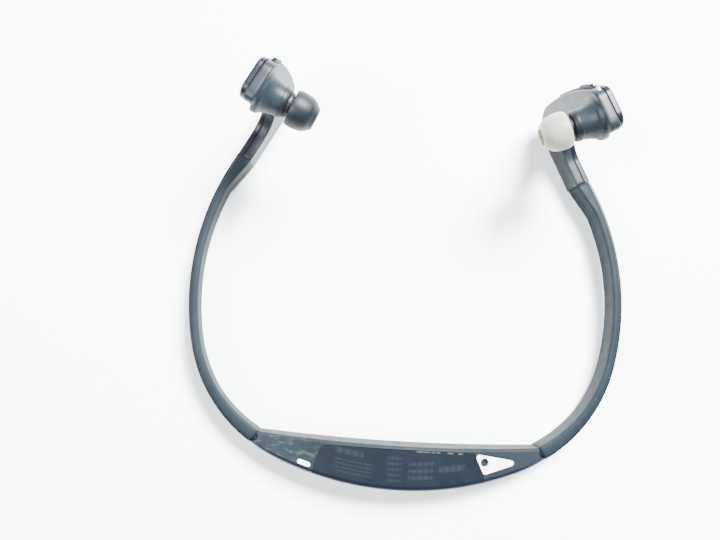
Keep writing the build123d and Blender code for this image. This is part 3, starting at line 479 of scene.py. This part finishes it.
# ---------------------------------------------------------------- materials
class Recipe:
    """Node material round a principled shader; values that are uniform are set on its sockets."""

    def __init__(self, name, rough=0.5, metallic=0.0, **values):
        self.material = bpy.data.materials.new(name)
        self.material.use_nodes = True
        self.tree = self.material.node_tree
        self.tree.nodes.clear()
        self.shader = self.add("ShaderNodeBsdfPrincipled")
        output = self.add("ShaderNodeOutputMaterial")
        self.link(self.shader.outputs["BSDF"], output.inputs["Surface"])
        self.shader.inputs["Roughness"].default_value = rough
        self.shader.inputs["Metallic"].default_value = metallic
        for key, value in values.items():
            self.shader.inputs[key.replace("_", " ")].default_value = value
        self.place = self.add("ShaderNodeTexCoord").outputs["Object"]

    def add(self, kind, **settings):
        node = self.tree.nodes.new(kind)
        for key, value in settings.items():
            setattr(node, key, value)
        return node

    def link(self, start, end):
        self.tree.links.new(start, end)

    def noise(self, scale, detail=4.0, stretch=(1, 1, 1)):
        """Noise with features of about 1/scale metres."""
        node = self.add("ShaderNodeTexNoise")
        node.inputs["Scale"].default_value = scale
        node.inputs["Detail"].default_value = detail
        place = self.place
        if stretch != (1, 1, 1):
            mapping = self.add("ShaderNodeMapping")
            mapping.inputs["Scale"].default_value = stretch
            self.link(self.place, mapping.inputs["Vector"])
            place = mapping.outputs["Vector"]
        self.link(place, node.inputs["Vector"])
        return node.outputs["Fac"]

    def ramp(self, value, stops):
        """Colour ramp through (position, colour or grey) stops."""
        node = self.add("ShaderNodeValToRGB")
        elements = node.color_ramp.elements
        while len(elements) < len(stops):
            elements.new(0.5)
        for element, (position, colour) in zip(elements, stops):
            element.position = position
            if isinstance(colour, (int, float)):
                colour = (colour, colour, colour)
            element.color = (*colour, 1)
        self.link(value, node.inputs["Fac"])
        return node.outputs["Color"]

    def math(self, operation, a, b=None, clamp=False):
        node = self.add("ShaderNodeMath", operation=operation, use_clamp=clamp)
        for socket, value in zip(node.inputs, (a, b)):
            if value is None:
                continue
            if isinstance(value, (int, float)):
                socket.default_value = value
            else:
                self.link(value, socket)
        return node.outputs[0]

    def mix(self, mask, first, second):
        """Colour mix; first and second are colours or sockets."""
        node = self.add("ShaderNodeMix", data_type="RGBA")
        self.link(mask, node.inputs[0])
        for socket, value in ((node.inputs[6], first), (node.inputs[7], second)):
            if isinstance(value, tuple):
                socket.default_value = (*value, 1)
            else:
                self.link(value, socket)
        return node.outputs[2]

    def colour(self, socket):
        self.link(socket, self.shader.inputs["Base Color"])

    def roughness(self, socket, low, high):
        node = self.add("ShaderNodeMapRange")
        node.inputs["To Min"].default_value = low
        node.inputs["To Max"].default_value = high
        self.link(socket, node.inputs["Value"])
        self.link(node.outputs["Result"], self.shader.inputs["Roughness"])

    def bump(self, height, distance, strength=1.0):
        node = self.add("ShaderNodeBump")
        node.inputs["Strength"].default_value = strength
        node.inputs["Distance"].default_value = distance
        self.link(height, node.inputs["Height"])
        self.link(node.outputs["Normal"], self.shader.inputs["Normal"])
        return node

    def edge_mask(self, radius):
        """1 on sharp outside edges, 0 on flats."""
        rounded = self.add("ShaderNodeBevel", samples=4)
        rounded.inputs["Radius"].default_value = radius
        geometry = self.add("ShaderNodeNewGeometry")
        dot = self.add("ShaderNodeVectorMath", operation="DOT_PRODUCT")
        self.link(rounded.outputs["Normal"], dot.inputs[0])
        self.link(geometry.outputs["Normal"], dot.inputs[1])
        away = self.math("SUBTRACT", 1.0, dot.outputs["Value"])
        return self.math("MULTIPLY", away, 5.0, clamp=True)

    def axis(self, name):
        node = self.add("ShaderNodeSeparateXYZ")
        self.link(self.place, node.inputs["Vector"])
        return node.outputs[name]

    def band_mask(self, value, low, high, soft):
        """1 where the value lies between low and high, fading over soft."""
        rise = self.add("ShaderNodeMapRange")
        for key, number in (("From Min", low - soft), ("From Max", low), ("To Min", 0), ("To Max", 1)):
            rise.inputs[key].default_value = number
        fall = self.add("ShaderNodeMapRange")
        for key, number in (("From Min", high), ("From Max", high + soft), ("To Min", 1), ("To Max", 0)):
            fall.inputs[key].default_value = number
        self.link(value, rise.inputs["Value"])
        self.link(value, fall.inputs["Value"])
        return self.math("MULTIPLY", rise.outputs["Result"], fall.outputs["Result"])


SCUFF_REACH = (-0.047, -0.027)   # the back section is scuffed along X between these


def rubber(name, dark, light, scuffs=False):
    """Soft-touch rubber: fine grain, cloudy tone, paler rubbed patches and edges."""
    recipe = Recipe(name, Specular_IOR_Level=0.07)
    cloud = recipe.ramp(recipe.noise(55, 5), [(0.35, dark), (0.65, light)])
    rub = recipe.ramp(recipe.noise(420, 6), [(0.60, 0.0), (0.78, 0.35)])
    worn = tuple(min(1.0, c * 1.6 + 0.003) for c in light)
    tone = recipe.mix(rub, cloud, worn)
    edge = recipe.math("MULTIPLY", recipe.edge_mask(0.0004), recipe.noise(900, 3))
    tone = recipe.mix(edge, tone, worn)
    if scuffs:
        along = recipe.band_mask(recipe.axis("X"), *SCUFF_REACH, 0.004)
        streak = recipe.ramp(recipe.noise(260, 6, (1.0, 2.6, 1.0)), [(0.53, 0.0), (0.70, 0.8)])
        mask = recipe.math("MULTIPLY", along, streak)
        tone = recipe.mix(mask, tone, (0.030, 0.036, 0.040))
    recipe.colour(tone)
    recipe.roughness(recipe.noise(300, 4), 0.46, 0.66)
    grain = recipe.math("ADD", recipe.noise(5200, 2), recipe.math("MULTIPLY", recipe.noise(700, 3), 1.5))
    recipe.bump(grain, 0.00006, 0.5)
    return recipe.material


def hard_plastic(name, dark, light, rough, coat=0.0, grain=0.00002, wear=0.3):
    """Moulded plastic: slight mottling, a fine texture, hairline scratches and paler worn edges."""
    recipe = Recipe(name, Specular_IOR_Level=0.16, Coat_Weight=coat, Coat_Roughness=0.12)
    tone = recipe.ramp(recipe.noise(70, 4), [(0.3, dark), (0.7, light)])
    hair = recipe.ramp(recipe.noise(900, 2, (0.12, 2.4, 1.0)), [(0.70, 0.0), (0.74, wear)])
    worn = tuple(min(1.0, c * 1.8 + 0.004) for c in light)
    tone = recipe.mix(hair, tone, worn)
    patches = recipe.math("MULTIPLY", recipe.noise(700, 3), wear * 2)
    edge = recipe.math("MULTIPLY", recipe.edge_mask(0.00025), patches)
    tone = recipe.mix(edge, tone, worn)
    recipe.colour(tone)
    recipe.roughness(recipe.noise(240, 5), rough - 0.07, rough + 0.09)
    recipe.bump(recipe.noise(3800, 3), grain, 0.5)
    return recipe.material


# Printed blocks of the label: left and right edge, near and far edge from the outer face, pitch of
# the rows, pitch of the cells along a row, and the share of a row's pitch that is inked.
PRINTED_BLOCKS = [(-0.0215, -0.0120, 0.0095, 0.0112, 0.0030, 0.0026, 0.62),
                  (-0.0215, -0.0090, 0.0035, 0.0085, 0.00125, 0.0011, 0.50),
                  (-0.0040, 0.0005, 0.0030, 0.0110, 0.0018, 0.0015, 0.48),
                  (0.0030, 0.0110, 0.0040, 0.0100, 0.0022, 0.0020, 0.50),
                  (0.0130, 0.0215, 0.0060, 0.0090, 0.0030, 0.0021, 0.60)]
GLUE_REACH = (0.004, 0.020)     # stretch of the groove, along X, that has traces of glue


def label_material():
    """Dark navy plate with faint printed rows and blocks, paler edges and glue in the groove."""
    recipe = Recipe("label_plate", Specular_IOR_Level=0.12)
    x, y = recipe.axis("X"), recipe.axis("Y")
    tone = recipe.ramp(recipe.noise(60, 4),
                       [(0.3, (0.0012, 0.0026, 0.0050)), (0.7, (0.0022, 0.0042, 0.0075))])
    curve = recipe.math("MULTIPLY", recipe.math("MULTIPLY", x, x), 1 / (2 * BAND_ARCS[0][0]))
    depth = recipe.math("SUBTRACT", recipe.math("SUBTRACT", y, BACK_Y), curve)
    for left, right, low, high, pitch, cell, fill in PRINTED_BLOCKS:
        zone = recipe.math("MULTIPLY", recipe.band_mask(x, left, right, 0.0001),
                           recipe.band_mask(depth, low, high, 0.0001))
        row = recipe.math("FRACT", recipe.math("DIVIDE", recipe.math("SUBTRACT", depth, low), pitch))
        bar = recipe.math("LESS_THAN", row, fill)
        column = recipe.add("ShaderNodeTexNoise", noise_dimensions="2D")
        column.inputs["Scale"].default_value = 1
        column.inputs["Detail"].default_value = 0
        cells = recipe.add("ShaderNodeCombineXYZ")
        recipe.link(recipe.math("FLOOR", recipe.math("DIVIDE", x, cell)), cells.inputs[0])
        recipe.link(recipe.math("FLOOR", recipe.math("DIVIDE", depth, pitch)), cells.inputs[1])
        recipe.link(cells.outputs[0], column.inputs["Vector"])
        gap = recipe.math("LESS_THAN", recipe.math("FRACT", recipe.math("DIVIDE", x, cell)), 0.78)
        keep = recipe.math("GREATER_THAN", column.outputs["Fac"], 0.42)
        ink = recipe.math("MULTIPLY", recipe.math("MULTIPLY", zone, bar), recipe.math("MULTIPLY", gap, keep))
        rubbed = recipe.math("ADD", recipe.math("MULTIPLY", recipe.noise(500, 3), 0.8), 0.1)
        ink = recipe.math("MULTIPLY", ink, rubbed)
        tone = recipe.mix(recipe.math("MULTIPLY", ink, 0.75), tone, (0.011, 0.014, 0.016))
    edge = recipe.math("MULTIPLY", recipe.edge_mask(0.0003), 0.4)
    tone = recipe.mix(edge, tone, (0.010, 0.013, 0.016))
    groove = recipe.math("MULTIPLY", recipe.band_mask(y, CREASE_Y - 0.0005, CREASE_Y + 0.001, 0.0001),
                         recipe.band_mask(x, *GLUE_REACH, 0.002))
    glue = recipe.math("MULTIPLY", groove, recipe.ramp(recipe.noise(600, 3), [(0.45, 0.0), (0.55, 0.8)]))
    tone = recipe.mix(glue, tone, (0.050, 0.052, 0.028))
    recipe.colour(tone)
    recipe.roughness(recipe.noise(260, 5), 0.34, 0.5)
    recipe.bump(recipe.noise(3200, 3), 0.00002, 0.5)
    return recipe.material


def silver_material():
    """Satin silver paint with a fine metal flake."""
    recipe = Recipe("silver_paint", metallic=0.1, Specular_IOR_Level=0.5)
    tone = recipe.ramp(recipe.noise(2500, 2), [(0.3, (0.70, 0.71, 0.71)), (0.7, (0.82, 0.83, 0.83))])
    edge = recipe.math("MULTIPLY", recipe.edge_mask(0.0002), recipe.noise(800, 3))
    recipe.colour(recipe.mix(edge, tone, (0.45, 0.45, 0.46)))
    recipe.roughness(recipe.noise(400, 4), 0.28, 0.42)
    recipe.bump(recipe.noise(6000, 2), 0.00001, 0.4)
    return recipe.material


def metal(name, tone_low, tone_high, rough):
    recipe = Recipe(name, metallic=1.0)
    recipe.colour(recipe.ramp(recipe.noise(300, 4), [(0.3, tone_low), (0.7, tone_high)]))
    recipe.roughness(recipe.noise(900, 3, (0.2, 2.0, 1.0)), rough - 0.08, rough + 0.1)
    recipe.bump(recipe.noise(2500, 2), 0.00001, 0.4)
    return recipe.material


GAUZE_PITCH = 0.00028


def mesh_material():
    """Woven metal gauze: a grid of raised wires."""
    recipe = Recipe("nozzle_gauze", metallic=0.9, rough=0.4)
    waves = []
    for name in ("X", "Z"):
        value = recipe.math("MULTIPLY", recipe.axis(name), 2 * pi / GAUZE_PITCH)
        waves.append(recipe.math("ABSOLUTE", recipe.math("SINE", value)))
    wires = recipe.math("MAXIMUM", *waves)
    recipe.colour(recipe.ramp(wires, [(0.55, (0.02, 0.02, 0.02)), (0.85, (0.45, 0.45, 0.46))]))
    recipe.bump(wires, 0.00005, 0.8)
    return recipe.material


def silicone(name, dark, light, soft=0.0, radius=(0.003, 0.0026, 0.002), rough=0.4):
    """Moulded silicone: smooth with a faint bloom and dust."""
    recipe = Recipe(name, Specular_IOR_Level=0.2, Subsurface_Weight=soft, Subsurface_Radius=radius,
                    Subsurface_Scale=1.0)
    tone = recipe.ramp(recipe.noise(160, 4), [(0.3, dark), (0.7, light)])
    dust = recipe.ramp(recipe.noise(1500, 4), [(0.62, 0.0), (0.74, 0.2)])
    recipe.colour(recipe.mix(dust, tone, tuple(min(1.0, c * 1.3 + 0.004) for c in light)))
    recipe.roughness(recipe.noise(350, 4), rough - 0.06, rough + 0.1)
    recipe.bump(recipe.noise(1400, 3), 0.00002, 0.5)
    return recipe.material


def board_material():
    """Green solder mask in two blotchy shades of green, with a faint matching bump."""
    recipe = Recipe("solder_mask", rough=0.35)
    tracks = recipe.ramp(recipe.noise(900, 0), [(0.49, (0.02, 0.10, 0.05)), (0.51, (0.03, 0.16, 0.08))])
    recipe.colour(tracks)
    recipe.bump(recipe.noise(900, 0), 0.00003, 0.6)
    return recipe.material


MATERIALS = {
    "grey_rubber": rubber("grey_rubber", (0.0060, 0.0095, 0.0125), (0.0095, 0.0140, 0.0180)),
    "soft_touch_grey": rubber("soft_touch_grey", (0.0050, 0.0085, 0.0110), (0.0080, 0.0120, 0.0155),
                              scuffs=True),
    "navy_shell": hard_plastic("navy_shell", (0.0022, 0.003, 0.006), (0.004, 0.0055, 0.010), 0.34,
                               coat=0.05),
    "navy_label": label_material(),
    "silver_trim": silver_material(),
    "grey_satin": hard_plastic("grey_satin", (0.0055, 0.0085, 0.0115), (0.0085, 0.0125, 0.0165), 0.40,
                               coat=0.03, grain=0.00003),
    "black_plastic": hard_plastic("black_plastic", (0.003, 0.0035, 0.005), (0.005, 0.006, 0.008), 0.45),
    "milky_silicone": silicone("milky_silicone", (0.17, 0.178, 0.150), (0.23, 0.235, 0.190), soft=0.6),
    "black_silicone": silicone("black_silicone", (0.0016, 0.0034, 0.0056), (0.0028, 0.0052, 0.0080),
                               rough=0.46),
    "spring_steel": metal("spring_steel", (0.50, 0.50, 0.50), (0.62, 0.62, 0.61), 0.3),
    "steel_mesh": mesh_material(),
    "circuit_board": board_material(),
    "foam": hard_plastic("foam_tape", (0.02, 0.02, 0.02), (0.05, 0.05, 0.05), 0.9, grain=0.0001),
    "battery_foil": metal("battery_foil", (0.60, 0.60, 0.60), (0.75, 0.75, 0.75), 0.35),
    "clear_plastic": silicone("clear_plastic", (0.70, 0.74, 0.78), (0.80, 0.84, 0.88), soft=0.4, rough=0.2),
}
for part in frame["record"]["subparts"]:
    node = frame["nodes"][part["node"]]
    look = MATERIALS[part["material_slot"]]
    if not node.material_slots:
        node.data.materials.append(look)
    for place in node.material_slots:
        place.material = look

# ---------------------------------------------------------------- pieces
for side in SIDES:
    sleeve = make_sleeve(side)
    core = make_seam_core(side)
    knuckle = make_knuckle(side)
    for piece in (sleeve, core, knuckle):
        piece.data.materials.append(MATERIALS["grey_rubber"])
        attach(piece, f"arm_{side}")
    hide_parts(f"arm_sleeve_{side}")
    tip = make_tip(side)
    slot_name = "milky_silicone" if side == "right" else "black_silicone"
    tip.data.materials.append(MATERIALS[slot_name])
    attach(tip, f"ear_tip_{side}")
    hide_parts(f"ear_tip_{side}")
    housing = make_housing(side)
    housing.data.materials.append(MATERIALS["grey_satin"])
    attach(housing, f"arm_{side}")
    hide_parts(f"ear_housing_{side}")
    ring = make_horn_ring(side)
    ring.data.materials.append(MATERIALS["black_plastic"])
    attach(ring, f"arm_{side}")


# ---------------------------------------------------------------- surroundings
FLOOR_HALF = 1.2


def floor():
    """Plain pale surface."""
    corners = [Vector((x * FLOOR_HALF, y * FLOOR_HALF, 0)) for x, y in ((-1, -1), (1, -1), (1, 1), (-1, 1))]
    piece = mesh_object("floor", corners, [(0, 1, 2, 3)])
    recipe = Recipe("pale_paper", rough=0.8, Specular_IOR_Level=0.2)
    recipe.colour(recipe.ramp(recipe.noise(12, 3), [(0.3, (0.86, 0.885, 0.89)), (0.7, (0.88, 0.90, 0.90))]))
    recipe.bump(recipe.noise(900, 3), 0.00002, 0.2)
    piece.data.materials.append(recipe.material)


def soft_light(name, direction, distance, size, power, colour):
    """Square area light that points at the middle of the object."""
    light = bpy.data.lights.new(name, "AREA")
    light.size = size
    light.energy = power
    light.color = colour
    lamp = bpy.data.objects.new(name, light)
    toward = Vector(direction).normalized()
    lamp.location = toward * distance
    lamp.rotation_mode = "QUATERNION"
    lamp.rotation_quaternion = toward.to_track_quat("Z", "Y")
    bpy.context.scene.collection.objects.link(lamp)


floor()
soft_light("key_light", (0.34, 0.66, 1.0), 1.1, 0.40, 165, (0.95, 0.985, 1.0))
soft_light("fill_light", (-0.7, -0.2, 1.0), 1.2, 0.6, 34, (0.93, 0.97, 1.0))
world = bpy.data.worlds.new("surroundings")
world.use_nodes = True
world.node_tree.nodes["Background"].inputs["Color"].default_value = (1.0, 0.96, 0.92, 1)
world.node_tree.nodes["Background"].inputs["Strength"].default_value = 0.5
bpy.context.scene.world = world
